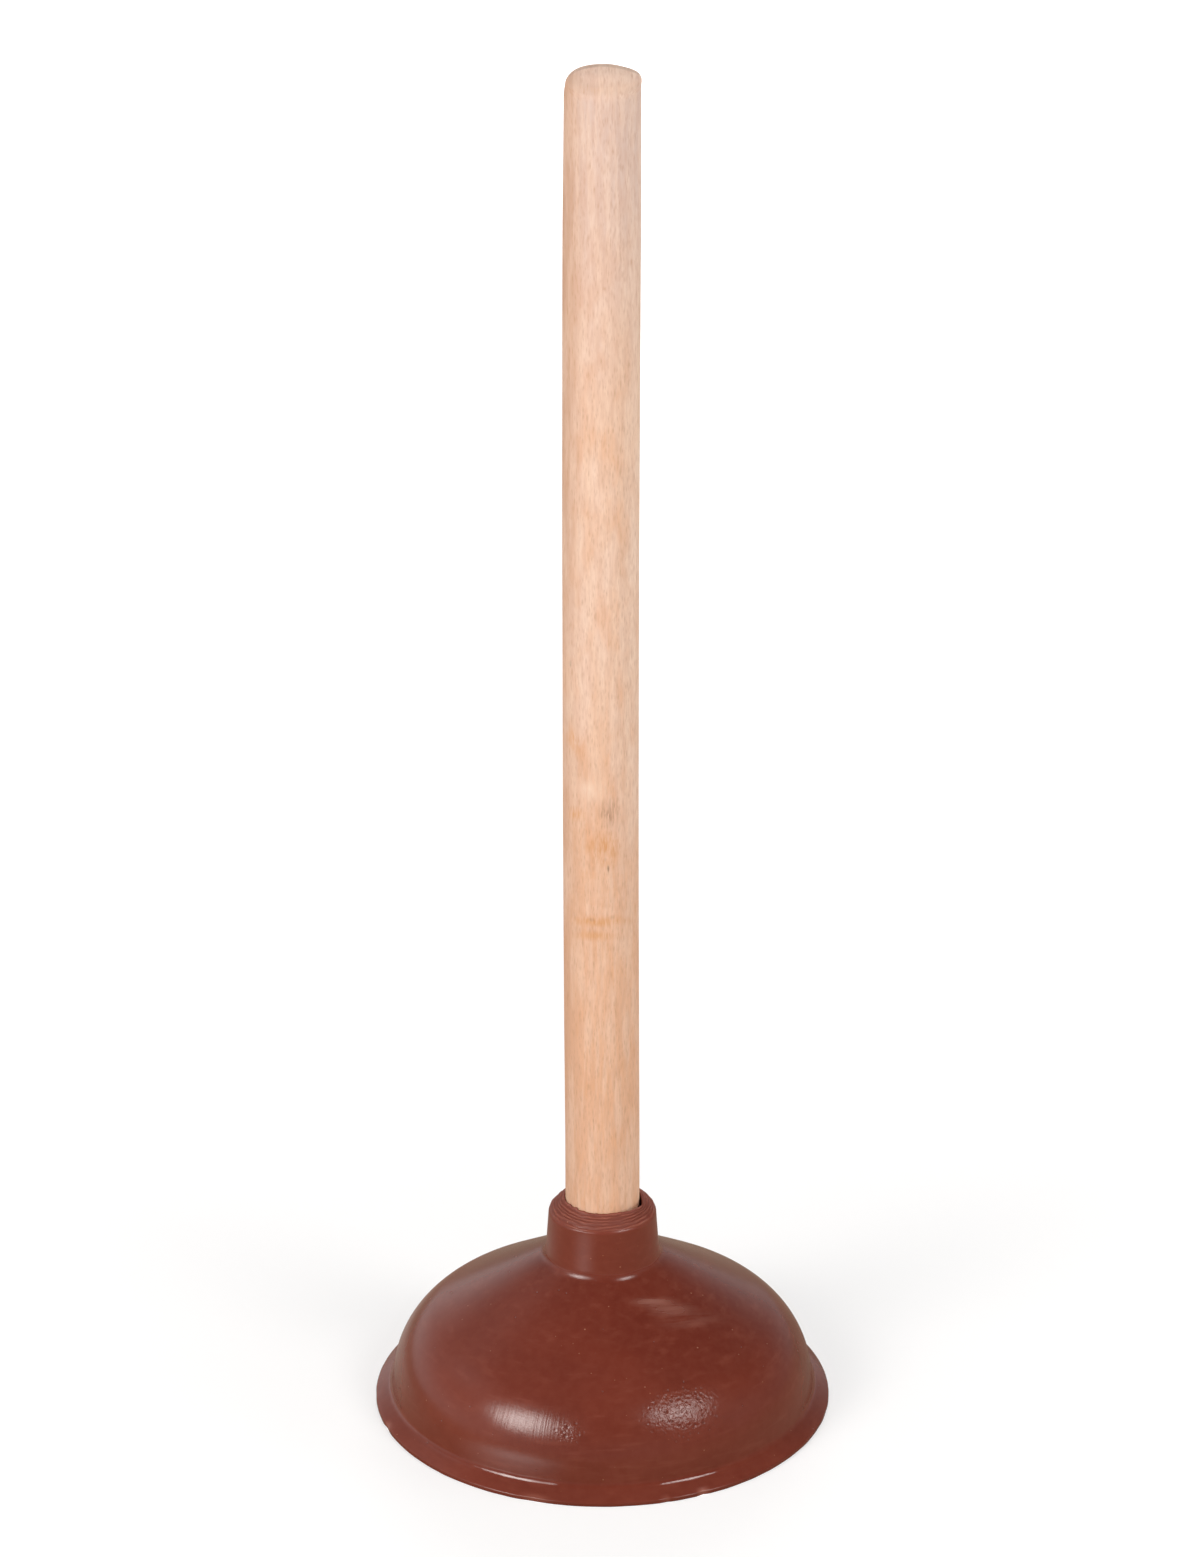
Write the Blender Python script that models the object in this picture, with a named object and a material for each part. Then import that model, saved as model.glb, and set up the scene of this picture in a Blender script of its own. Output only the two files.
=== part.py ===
"""Toilet plunger: a moulded rubber cup on a turned wooden handle, held by a screw and a washer.

Metres, +Z up along the handle. The origin is the centre of the rim, on the plane the cup stands on.
"""

import math

import bmesh
import bpy
from mathutils import Matrix, Vector

MM = 0.001

# Handle: a turned dowel
HANDLE_DIAMETER = 24.2 * MM
HANDLE_LENGTH = 411.8 * MM
HANDLE_TOP_SLOPE = math.radians(26.0)
HANDLE_TOP_EDGE = 2.6 * MM
HANDLE_FOOT_CHAMFER = 1.0 * MM

# Cup: heights are above the rim's plane
CUP_DIAMETER = 150.0 * MM
CUP_WALL = 4.2 * MM
LIP_WIDTH = 5.35 * MM
LIP_HEIGHT = 4.5 * MM
LIP_EDGE = 1.3 * MM
LIP_THICKNESS = 3.2 * MM
LIP_FILLET = 2.3 * MM
WALL_DRAFT = math.radians(7.8)
SHOULDER_HEIGHT = 23.7 * MM
SHOULDER_RADIUS = 28.7 * MM
CROWN_HEIGHT = 52.8 * MM

# Collar on the cup's crown, and the boss under its socket
COLLAR_HEIGHT = 21.0 * MM
COLLAR_WALL = 5.15 * MM
COLLAR_DRAFT = math.radians(4.0)
COLLAR_FACE_SLOPE = math.radians(45.0)
COLLAR_EDGE = 4.0 * MM
COLLAR_FILLET = 4.3 * MM
MOUTH_EDGE = 0.3 * MM
SOCKET_DEPTH = 25.0 * MM
SOCKET_FILLET = 0.8 * MM
SOCKET_FLOOR = 5.5 * MM
BOSS_WALL = 5.1 * MM
BOSS_EDGE = 2.0 * MM
BOSS_FILLET = 3.0 * MM

# Wood screw and washer, driven up from inside the cup
SCREW_DIAMETER = 5.0 * MM
SCREW_LENGTH = 30.0 * MM
SCREW_POINT = 6.0 * MM
HEAD_DIAMETER = 9.6 * MM
HEAD_HEIGHT = 3.2 * MM
HEAD_EDGE = 1.8 * MM
RECESS_SPAN = 5.0 * MM
RECESS_WIDTH = 1.1 * MM
RECESS_DEPTH = 1.8 * MM
WASHER_DIAMETER = 22.0 * MM
WASHER_THICKNESS = 1.2 * MM
WASHER_EDGE = 0.3 * MM
PILOT_SPARE = 2.0 * MM
DRILL_POINT = math.radians(59.0)

# Fits
SOCKET_SLACK = 0.3 * MM
SCREW_SLACK = 0.3 * MM
SEAT_GAP = 0.3 * MM

# Facets
CUP_STEPS = 64
HANDLE_STEPS = 48
FIXING_STEPS = 32
CHORD_ERROR = 0.1 * MM
SHARP_ANGLE = math.radians(40.0)
WELD = 0.001 * MM

# Derived places and radii
HANDLE_RADIUS = HANDLE_DIAMETER / 2
CUP_RADIUS = CUP_DIAMETER / 2
BORE_RADIUS = HANDLE_RADIUS + SOCKET_SLACK
SCREW_HOLE_RADIUS = SCREW_DIAMETER / 2 + SCREW_SLACK
MOUTH_Z = CROWN_HEIGHT + COLLAR_HEIGHT
SOCKET_Z = MOUTH_Z - SOCKET_DEPTH
BOSS_Z = SOCKET_Z - SOCKET_FLOOR
HANDLE_FOOT_Z = SOCKET_Z + SEAT_GAP
WASHER_Z = BOSS_Z - SEAT_GAP - WASHER_THICKNESS
SCREW_SEAT_Z = WASHER_Z - SEAT_GAP
SCREW_TIP_Z = SCREW_SEAT_Z + SCREW_LENGTH
PILOT_DEPTH = SCREW_TIP_Z + PILOT_SPARE - HANDLE_FOOT_Z


def clear_scene():
    for obj in list(bpy.data.objects):
        bpy.data.objects.remove(obj, do_unlink=True)


def principled(name, colour, roughness, metallic=0.0):
    material = bpy.data.materials.new(name)
    material.use_nodes = True
    shader = material.node_tree.nodes["Principled BSDF"]
    shader.inputs["Base Color"].default_value = (*colour, 1.0)
    shader.inputs["Roughness"].default_value = roughness
    shader.inputs["Metallic"].default_value = metallic
    return material


def meet(first, second):
    """Where two lines cross. A line is a point and a direction in the (radius, height) plane."""
    (p, d), (q, e) = first, second
    along = (q - p).cross(e) / d.cross(e)
    return p + d * along


def beside(line, distance):
    """The parallel line that lies distance to the right of the line's direction."""
    point, direction = line
    right = Vector((direction.y, -direction.x)).normalized()
    return point + right * distance, direction


def slope(angle):
    """The direction that runs outwards and falls at an angle below the level."""
    return Vector((math.cos(angle), -math.sin(angle)))


def rounded(corners, closed=False):
    """An outline through (corner, fillet radius) pairs, with each fillet a tangent arc.

    Two fillets that share a side too short for both shrink together until they fit.
    """
    points = [Vector(corner) for corner, _ in corners]
    count = len(points)
    turns, reaches = [], []
    for i, (_, radius) in enumerate(corners):
        inner = closed or 0 < i < count - 1
        turn = 0.0
        if inner and radius > 0:
            into = points[i] - points[i - 1]
            out = points[(i + 1) % count] - points[i]
            turn = math.atan2(into.cross(out), into.dot(out))
        turns.append(turn)
        reaches.append(radius * math.tan(abs(turn) / 2))
    fits = [1.0] * count
    for i in range(count if closed else count - 1):
        j = (i + 1) % count
        wanted = reaches[i] + reaches[j]
        if wanted > 0:
            room = min(1.0, (points[j] - points[i]).length / wanted)
            fits[i] = min(fits[i], room)
            fits[j] = min(fits[j], room)
    outline = []
    for i, (_, radius) in enumerate(corners):
        if turns[i] == 0.0:
            outline.append(points[i])
            continue
        back = (points[i - 1] - points[i]).normalized()
        side = Vector((back.y, -back.x)) * math.copysign(1.0, turns[i])
        start = points[i] + back * reaches[i] * fits[i]
        centre = start + side * radius * fits[i]
        widest = 2 * math.acos(max(0.0, 1 - CHORD_ERROR / (radius * fits[i])))
        steps = max(2, math.ceil(abs(turns[i]) / widest))
        for k in range(steps + 1):
            outline.append(centre + Matrix.Rotation(turns[i] * k / steps, 2) @ (start - centre))
    return outline


def turned(name, outline, material, steps, closed=False):
    """A solid of revolution about its own Z axis. An open outline starts and ends on the axis."""
    bm = bmesh.new()
    ring = [bm.verts.new((point.x, 0.0, point.y)) for point in outline]
    pairs = zip(ring, ring[1:] + ring[:1]) if closed else zip(ring, ring[1:])
    edges = [bm.edges.new(pair) for pair in pairs]
    bmesh.ops.spin(
        bm,
        geom=ring + edges,
        cent=(0.0, 0.0, 0.0),
        axis=(0.0, 0.0, 1.0),
        angle=math.tau,
        steps=steps,
        use_merge=True,
    )
    bmesh.ops.remove_doubles(bm, verts=bm.verts, dist=WELD)
    bmesh.ops.recalc_face_normals(bm, faces=bm.faces)
    mesh = bpy.data.meshes.new(name)
    bm.to_mesh(mesh)
    bm.free()
    mesh.shade_smooth()
    mesh.set_sharp_from_angle(angle=SHARP_ANGLE)
    mesh.materials.append(material)
    obj = bpy.data.objects.new(name, mesh)
    bpy.context.collection.objects.link(obj)
    return obj


def cup_outline():
    """The cup's closed half section, from the socket's mouth down the outside and back up inside."""
    collar_radius = BORE_RADIUS + COLLAR_WALL
    face_drop = COLLAR_WALL * math.tan(COLLAR_FACE_SLOPE)
    collar_edge = Vector((collar_radius, MOUTH_Z - face_drop))
    collar_side = (collar_edge, slope(math.pi / 2 - COLLAR_DRAFT))
    collar_foot = meet(collar_side, (Vector((0.0, CROWN_HEIGHT)), slope(0.0)))
    wall_foot = Vector((CUP_RADIUS - LIP_WIDTH, LIP_HEIGHT))
    wall = (wall_foot, slope(math.pi / 2 - WALL_DRAFT))
    shoulder = meet(wall, (Vector((0.0, SHOULDER_HEIGHT)), slope(0.0)))
    crown = (collar_foot, shoulder - collar_foot)
    lip_edge = Vector((CUP_RADIUS, LIP_EDGE))
    lip = (wall_foot, lip_edge - wall_foot)

    inner_crown = beside(crown, CUP_WALL)
    inner_wall = beside(wall, CUP_WALL)
    inner_lip = beside(lip, LIP_THICKNESS)
    floor = (Vector((0.0, 0.0)), slope(0.0))
    boss_radius = BORE_RADIUS + BOSS_WALL
    boss_side = (Vector((boss_radius, BOSS_Z)), slope(math.pi / 2))

    return rounded(
        [
            ((BORE_RADIUS, MOUTH_Z), MOUTH_EDGE),
            (collar_edge, COLLAR_EDGE),
            (collar_foot, COLLAR_FILLET),
            (shoulder, SHOULDER_RADIUS),
            (wall_foot, LIP_FILLET),
            (lip_edge, 0.0),
            ((CUP_RADIUS, 0.0), 0.0),
            (meet(inner_lip, floor), 0.0),
            (meet(inner_wall, inner_lip), LIP_FILLET + CUP_WALL),
            (meet(inner_crown, inner_wall), SHOULDER_RADIUS - CUP_WALL),
            (meet(boss_side, inner_crown), BOSS_FILLET),
            ((boss_radius, BOSS_Z), BOSS_EDGE),
            ((SCREW_HOLE_RADIUS, BOSS_Z), 0.0),
            ((SCREW_HOLE_RADIUS, SOCKET_Z), 0.0),
            ((BORE_RADIUS, SOCKET_Z), SOCKET_FILLET),
        ],
        closed=True,
    )


def handle_outline():
    """The dowel's half section: domed top, side, chamfered foot and the pilot hole in it.

    The dome starts level on the axis and runs into the rounded edge at the top's slope.
    """
    dome_reach = HANDLE_RADIUS - HANDLE_TOP_EDGE * (1 - math.sin(HANDLE_TOP_SLOPE))
    dome_radius = dome_reach / math.sin(HANDLE_TOP_SLOPE)
    dome_corner = dome_radius * math.tan(HANDLE_TOP_SLOPE / 2)
    edge_drop = (HANDLE_RADIUS - dome_corner) * math.tan(HANDLE_TOP_SLOPE)
    drill_point = SCREW_HOLE_RADIUS / math.tan(DRILL_POINT)
    return rounded(
        [
            ((0.0, HANDLE_LENGTH), 0.0),
            ((dome_corner, HANDLE_LENGTH), dome_radius),
            ((HANDLE_RADIUS, HANDLE_LENGTH - edge_drop), HANDLE_TOP_EDGE),
            ((HANDLE_RADIUS, HANDLE_FOOT_CHAMFER), 0.0),
            ((HANDLE_RADIUS - HANDLE_FOOT_CHAMFER, 0.0), 0.0),
            ((SCREW_HOLE_RADIUS, 0.0), 0.0),
            ((SCREW_HOLE_RADIUS, PILOT_DEPTH), 0.0),
            ((0.0, PILOT_DEPTH + drill_point), 0.0),
        ]
    )


def washer_outline():
    hole, rim = SCREW_HOLE_RADIUS, WASHER_DIAMETER / 2
    return rounded(
        [
            ((hole, WASHER_THICKNESS), 0.0),
            ((rim, WASHER_THICKNESS), WASHER_EDGE),
            ((rim, 0.0), WASHER_EDGE),
            ((hole, 0.0), 0.0),
        ],
        closed=True,
    )


def screw_outline():
    """The screw's half section: point, thread's outer size, and a pan head below its seat."""
    shank, head = SCREW_DIAMETER / 2, HEAD_DIAMETER / 2
    return rounded(
        [
            ((0.0, SCREW_LENGTH), 0.0),
            ((shank, SCREW_LENGTH - SCREW_POINT), 0.0),
            ((shank, 0.0), 0.0),
            ((head, 0.0), 0.0),
            ((head, -HEAD_HEIGHT), HEAD_EDGE),
            ((0.0, -HEAD_HEIGHT), 0.0),
        ]
    )


def cut_cross_recess(screw):
    """Two crossed slots in the underside of the screw's head, for a cross driver."""
    for k in range(2):
        bm = bmesh.new()
        bmesh.ops.create_cube(bm, size=1.0)
        bmesh.ops.scale(bm, vec=(RECESS_SPAN, RECESS_WIDTH, 2 * RECESS_DEPTH), verts=bm.verts)
        mesh = bpy.data.meshes.new(f"recess_cutter_{k}")
        bm.to_mesh(mesh)
        bm.free()
        cutter = bpy.data.objects.new(mesh.name, mesh)
        bpy.context.collection.objects.link(cutter)
        cutter.parent = screw
        cutter.location = (0.0, 0.0, -HEAD_HEIGHT)
        cutter.rotation_euler = (0.0, 0.0, k * math.pi / 2)
        cutter.hide_render = True
        cutter.display_type = "WIRE"
        cut = screw.modifiers.new(f"recess_{k}", "BOOLEAN")
        cut.operation = "DIFFERENCE"
        cut.solver = "EXACT"
        cut.object = cutter


def build():
    clear_scene()
    rubber = principled("red_brown_rubber", (0.19, 0.042, 0.026), 0.42)
    wood = principled("pale_wood", (0.76, 0.52, 0.36), 0.65)
    steel = principled("zinc_plated_steel", (0.56, 0.56, 0.54), 0.35, metallic=1.0)

    turned("cup", cup_outline(), rubber, CUP_STEPS, closed=True)

    # The handle, the washer and the screw slide together along the cup's axis.
    slide = bpy.data.objects.new("plunge_slide", None)
    slide.location = (0.0, 0.0, HANDLE_FOOT_Z)
    bpy.context.collection.objects.link(slide)
    handle = turned("handle", handle_outline(), wood, HANDLE_STEPS)
    washer = turned("washer", washer_outline(), steel, FIXING_STEPS, closed=True)
    screw = turned("screw", screw_outline(), steel, FIXING_STEPS)
    cut_cross_recess(screw)
    for piece, foot_z in ((handle, HANDLE_FOOT_Z), (washer, WASHER_Z), (screw, SCREW_SEAT_Z)):
        piece.parent = slide
        piece.location = (0.0, 0.0, foot_z - HANDLE_FOOT_Z)


build()
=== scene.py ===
"""The looks of a toilet plunger: red-brown rubber cup, pale wooden handle, zinc-plated screw and washer.

Metres, +Z up along the handle. The front, towards the camera, is -Y.
"""

import math

import bmesh
import bpy
from mathutils import Matrix, Vector, noise


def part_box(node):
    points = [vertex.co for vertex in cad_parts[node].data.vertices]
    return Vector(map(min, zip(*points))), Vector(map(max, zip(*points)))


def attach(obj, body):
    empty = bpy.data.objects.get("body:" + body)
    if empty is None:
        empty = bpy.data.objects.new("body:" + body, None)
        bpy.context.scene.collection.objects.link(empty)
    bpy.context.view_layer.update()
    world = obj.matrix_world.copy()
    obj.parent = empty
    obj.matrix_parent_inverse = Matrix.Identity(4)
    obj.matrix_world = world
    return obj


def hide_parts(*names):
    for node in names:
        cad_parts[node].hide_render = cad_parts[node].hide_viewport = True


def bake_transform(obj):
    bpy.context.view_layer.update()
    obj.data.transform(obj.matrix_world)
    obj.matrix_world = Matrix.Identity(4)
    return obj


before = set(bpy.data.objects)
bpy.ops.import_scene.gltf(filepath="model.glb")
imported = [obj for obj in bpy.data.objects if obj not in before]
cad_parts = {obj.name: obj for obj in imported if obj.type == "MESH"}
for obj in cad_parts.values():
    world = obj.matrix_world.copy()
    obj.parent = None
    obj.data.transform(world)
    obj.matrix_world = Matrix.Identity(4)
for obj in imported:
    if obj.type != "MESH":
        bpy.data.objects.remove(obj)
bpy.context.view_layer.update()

MM = 0.001

# Sizes that the frame gives
HANDLE_LOW, HANDLE_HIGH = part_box("handle")
WASHER_LOW, WASHER_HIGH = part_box("washer")
SCREW_LOW, SCREW_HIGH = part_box("screw")
CUP_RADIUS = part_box("cup")[1].x
HANDLE_RADIUS = HANDLE_HIGH.x
HANDLE_TOP_Z = HANDLE_HIGH.z
HANDLE_FOOT_Z = HANDLE_LOW.z

# Fits
SOCKET_SLACK = 0.3 * MM
SCREW_SLACK = 0.3 * MM
SEAT_GAP = 0.3 * MM

# Cup section, heights above the rim's plane
CUP_WALL = 4.2 * MM
LIP_WIDTH = 5.35 * MM
LIP_HEIGHT = 4.5 * MM
LIP_EDGE = 1.3 * MM
LIP_THICKNESS = 3.2 * MM
LIP_FILLET = 3.1 * MM
WALL_DRAFT = math.radians(7.8)
SHOULDER_HEIGHT = 23.7 * MM
SHOULDER_RADIUS = 28.7 * MM
CROWN_HEIGHT = 52.8 * MM
COLLAR_HEIGHT = 21.0 * MM
COLLAR_WALL = 5.15 * MM
COLLAR_DRAFT = math.radians(4.0)
COLLAR_FACE_SLOPE = math.radians(45.0)
COLLAR_EDGE = 1.6 * MM
COLLAR_FILLET = 4.3 * MM
MOUTH_EDGE = 0.3 * MM
SOCKET_FILLET = 0.8 * MM
BOSS_WALL = 5.1 * MM
BOSS_EDGE = 2.0 * MM
BOSS_FILLET = 3.0 * MM

# Handle
HANDLE_TOP_SLOPE = math.radians(26.0)
HANDLE_TOP_EDGE = 2.6 * MM
HANDLE_FOOT_CHAMFER = 1.0 * MM
PILOT_SPARE = 2.0 * MM
DRILL_POINT = math.radians(59.0)

# Screw and washer
SCREW_DIAMETER = 5.0 * MM
SCREW_POINT = 6.0 * MM
THREAD_ROOT = 1.75 * MM
THREAD_PITCH = 2.0 * MM
THREAD_LAND = 0.35 * MM
THREAD_FOOT = 1.68 * MM
THREAD_SINK = 0.15 * MM
THREAD_STEPS = 32
HEAD_HEIGHT = 3.2 * MM
HEAD_EDGE = 1.8 * MM
RECESS_SPAN = 5.0 * MM
RECESS_WIDTH = 1.1 * MM
RECESS_DEPTH = 1.8 * MM
RECESS_TAPER = (0.45, 0.6, 1.0)
WASHER_EDGE = 0.3 * MM

# Places worked out from them
BORE_RADIUS = HANDLE_RADIUS + SOCKET_SLACK
SCREW_HOLE_RADIUS = SCREW_DIAMETER / 2 + SCREW_SLACK
MOUTH_Z = CROWN_HEIGHT + COLLAR_HEIGHT
SOCKET_Z = HANDLE_FOOT_Z - SEAT_GAP
BOSS_Z = WASHER_HIGH.z + SEAT_GAP
COLLAR_RADIUS = BORE_RADIUS + COLLAR_WALL
COLLAR_EDGE_Z = MOUTH_Z - COLLAR_WALL * math.tan(COLLAR_FACE_SLOPE)
SCREW_SEAT_Z = SCREW_LOW.z + HEAD_HEIGHT

# Meshes
CUP_STEPS = 376
HANDLE_STEPS = 96
FIXING_STEPS = 64
ARC_LEAST_STEPS = 3
SHARP_ANGLE = math.radians(40.0)
WELD = 0.001 * MM

# Camera: it stands level, looks down at the axis and frames the whole object
PHOTO_HEIGHT_PIXELS = 1557
FOCAL_PIXELS = 7000.0
SENSOR_HEIGHT_MM = 36.0
CAMERA_PITCH = math.radians(24.47)
CAMERA_AIM = Vector((-0.8 * MM, 0.0, 223.4 * MM))
CAMERA_DISTANCE = 2.227
CAMERA_REACH = 100.0


# Section drawing


def meet(first, second):
    """Where two lines cross. A line is a point and a direction in the (radius, height) plane."""
    (p, d), (q, e) = first, second
    along = (q - p).cross(e) / d.cross(e)
    return p + d * along


def beside(line, distance):
    """The parallel line that lies distance to the right of the line's direction."""
    point, direction = line
    right = Vector((direction.y, -direction.x)).normalized()
    return point + right * distance, direction


def slope(angle):
    """The direction that runs outwards and falls at an angle below the level."""
    return Vector((math.cos(angle), -math.sin(angle)))


def fillet(before, corner, after, radius):
    """The start, the centre and the turn of the arc that rounds a corner."""
    into, out = corner - before, after - corner
    turn = math.atan2(into.cross(out), into.dot(out))
    back = -into.normalized()
    side = Vector((back.y, -back.x)) * math.copysign(1.0, turn)
    start = corner + back * radius * math.tan(abs(turn) / 2)
    return start, start + side * radius, turn


def draw_line(bm, pen, target, spacing):
    """Extrudes the pen's vertex to the target in even steps."""
    place = Vector((target.x, 0.0, target.y))
    if pen is None:
        return bm.verts.new(place)
    start = pen.co.copy()
    steps = math.ceil((place - start).length / spacing)
    for k in range(steps):
        pen = bmesh.ops.extrude_vert_indiv(bm, verts=[pen])["verts"][0]
        pen.co = start.lerp(place, (k + 1) / steps)
    return pen


def draw_arc(bm, pen, centre, turn, radius, spacing):
    """Spins the pen's vertex about a centre, in even steps."""
    steps = max(ARC_LEAST_STEPS, math.ceil(abs(turn) * radius / spacing))
    swept = bmesh.ops.spin(
        bm,
        geom=[pen],
        cent=(centre.x, 0.0, centre.y),
        axis=(0.0, -1.0, 0.0),
        angle=turn,
        steps=steps,
    )
    return next(item for item in swept["geom_last"] if isinstance(item, bmesh.types.BMVert))


def draw_section(bm, corners, closed=False):
    """A wire in the XZ plane through (corner, fillet radius, spacing) entries.

    The spacing is that of the points on the stretch up to the corner and round its fillet.
    """
    points = [Vector(corner) for corner, _, _ in corners]
    pen = None
    for i, (_, radius, spacing) in enumerate(corners):
        if radius > 0:
            after = points[(i + 1) % len(points)]
            start, centre, turn = fillet(points[i - 1], points[i], after, radius)
            pen = draw_line(bm, pen, start, spacing)
            pen = draw_arc(bm, pen, centre, turn, radius, spacing)
        else:
            pen = draw_line(bm, pen, points[i], spacing)
    if closed:
        first = next(iter(bm.verts)).co
        draw_line(bm, pen, Vector((first.x, first.z)), corners[0][2])


def turn_round(bm, steps):
    """Spins the section about Z into a closed skin that faces outwards."""
    bmesh.ops.spin(
        bm,
        geom=bm.verts[:] + bm.edges[:],
        cent=(0.0, 0.0, 0.0),
        axis=(0.0, 0.0, 1.0),
        angle=math.tau,
        steps=steps,
        use_merge=True,
    )
    bmesh.ops.remove_doubles(bm, verts=bm.verts, dist=WELD)
    bmesh.ops.recalc_face_normals(bm, faces=bm.faces)
    bm.normal_update()


def new_object(bm, name):
    mesh = bpy.data.meshes.new(name)
    bm.to_mesh(mesh)
    bm.free()
    obj = bpy.data.objects.new(name, mesh)
    bpy.context.scene.collection.objects.link(obj)
    return obj


def shade(mesh):
    mesh.shade_smooth()
    mesh.set_sharp_from_angle(angle=SHARP_ANGLE)


def finished(bm, name, material):
    """A piece from its bmesh: shaded smooth up to the sharp angle, with one material."""
    obj = new_object(bm, name)
    shade(obj.data)
    obj.data.materials.append(material)
    return obj


def smooth_step(low, high, value):
    """0 up to a low value and 1 from a high one, with a soft start and end between them."""
    share = min(1.0, max(0.0, (value - low) / (high - low)))
    return share * share * (3 - 2 * share)


# Cup


# Faint lumps all over the skin, which start just above the rim
CUP_LUMP = 0.07 * MM
CUP_LUMP_SIZE = 26 * MM
CUP_LUMP_RISE = (0.5 * MM, 6 * MM)

# Turned ridges on the collar's sloping face, and the heights between which that face turns matt
RIDGE_HEIGHT = 0.40 * MM
RIDGE_PITCH = 1.15 * MM
RIDGE_WANDER = 0.55 * MM
RIDGE_WANDER_LENGTH = 3 * MM
RIDGE_WAVER = 0.24 * MM
RIDGE_MEAN = 0.65
RIDGE_LEAST = 0.1
RIDGE_RUN_IN = 0.5 * MM
RIDGE_RUN_OUT = 1.2 * MM
RIDGE_MARGIN = 1 * MM
MATT_RISE = (COLLAR_EDGE_Z + 0.3 * MM, COLLAR_EDGE_Z + 1.6 * MM)

# The socket's mouth: nearly closed on the wood, with a ragged flash on its left and a gape on its right
MOUTH_TOUCH = 0.05 * MM
MOUTH_BAND = 1.2 * MM
MOUTH_FLASH = 0.9 * MM
MOUTH_FLASH_AZIMUTH = math.radians(-38.0)
MOUTH_FLASH_SPREAD = math.radians(34.0)
MOUTH_FLASH_ELSEWHERE = 0.25
MOUTH_FLASH_LEVEL = 0.1
MOUTH_RELIEF = 1.9 * MM
MOUTH_RELIEF_BAND = 3.6 * MM
MOUTH_RELIEF_DEPTH = 7.0 * MM
MOUTH_RELIEF_AZIMUTH = math.radians(58.0)
MOUTH_RELIEF_SPREAD = math.radians(22.0)

# The lip's uneven edge and fold, and the depth at which a nick is rubbed right through to pale rubber
LIP_WANDER = 0.10 * MM
LIP_BAND = 2.2 * MM
FILLET_LUMP = 0.10 * MM
NICK_WORN = 0.4 * MM

# How often each unevenness changes on the way round the axis
RIDGE_WANDER_ROUND = 1.4
RIDGE_WAVER_ROUND = 7.0
RIDGE_STRENGTH_ROUND = 3.6
MOUTH_FLASH_ROUND = 8.0
LIP_WANDER_ROUND = 14.0
FILLET_LUMP_ROUND = 24.0

# Nicks along the lip's edge: azimuth, half width and depth
LIP_NICKS = [
    (math.radians(25.8), math.radians(1.1), 0.55 * MM),
    (math.radians(16.0), math.radians(0.8), 0.2 * MM),
    (math.radians(-16.8), math.radians(3.2), 0.25 * MM),
    (math.radians(-71.0), math.radians(1.6), 0.35 * MM),
    (math.radians(118.0), math.radians(1.4), 0.4 * MM),
    (math.radians(-152.0), math.radians(2.4), 0.35 * MM),
]


def cup_section(bm):
    """The cup's half section, from the socket's mouth down the outside and back up inside."""
    collar_edge = Vector((COLLAR_RADIUS, COLLAR_EDGE_Z))
    collar_side = (collar_edge, slope(math.pi / 2 - COLLAR_DRAFT))
    collar_foot = meet(collar_side, (Vector((0.0, CROWN_HEIGHT)), slope(0.0)))
    wall_foot = Vector((CUP_RADIUS - LIP_WIDTH, LIP_HEIGHT))
    wall = (wall_foot, slope(math.pi / 2 - WALL_DRAFT))
    shoulder = meet(wall, (Vector((0.0, SHOULDER_HEIGHT)), slope(0.0)))
    crown = (collar_foot, shoulder - collar_foot)
    lip_edge = Vector((CUP_RADIUS, LIP_EDGE))
    lip = (wall_foot, lip_edge - wall_foot)

    inner_crown = beside(crown, CUP_WALL)
    inner_wall = beside(wall, CUP_WALL)
    inner_lip = beside(lip, LIP_THICKNESS)
    floor = (Vector((0.0, 0.0)), slope(0.0))
    boss_radius = BORE_RADIUS + BOSS_WALL
    boss_side = (Vector((boss_radius, BOSS_Z)), slope(math.pi / 2))

    coarse, medium, small, fine = 2.6 * MM, 1.5 * MM, 0.6 * MM, 0.16 * MM
    draw_section(
        bm,
        [
            ((BORE_RADIUS, MOUTH_Z - MOUTH_RELIEF_DEPTH), 0.0, coarse),
            ((BORE_RADIUS, MOUTH_Z), MOUTH_EDGE, small),
            (collar_edge, COLLAR_EDGE, fine),
            (collar_foot, COLLAR_FILLET, small),
            (shoulder, SHOULDER_RADIUS, medium),
            (wall_foot, LIP_FILLET, small / 2),
            (lip_edge, LIP_EDGE / 3, small),
            ((CUP_RADIUS, 0.0), LIP_EDGE / 6, small / 2),
            (meet(inner_lip, floor), 0.0, medium),
            (meet(inner_wall, inner_lip), LIP_FILLET + CUP_WALL, medium),
            (meet(inner_crown, inner_wall), SHOULDER_RADIUS - CUP_WALL, coarse),
            (meet(boss_side, inner_crown), BOSS_FILLET, coarse / 2),
            ((boss_radius, BOSS_Z), BOSS_EDGE, small),
            ((SCREW_HOLE_RADIUS, BOSS_Z), 0.0, coarse),
            ((SCREW_HOLE_RADIUS, SOCKET_Z), 0.0, coarse),
            ((BORE_RADIUS, SOCKET_Z), SOCKET_FILLET, coarse),
        ],
        closed=True,
    )


def azimuth_of(point):
    """The angle round the axis: 0 at the front, positive to the right."""
    return math.atan2(point.x, -point.y)


def around(azimuth, size, height=0.0):
    """A point on a circle for the noise, which then runs round the axis without a seam."""
    return Vector((math.cos(azimuth) * size, math.sin(azimuth) * size, height))


def hump(azimuth, centre, spread):
    """1 at an azimuth, falling to nothing a few spreads to either side."""
    aside = math.remainder(azimuth - centre, math.tau) / spread
    return math.exp(-aside * aside)


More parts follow.
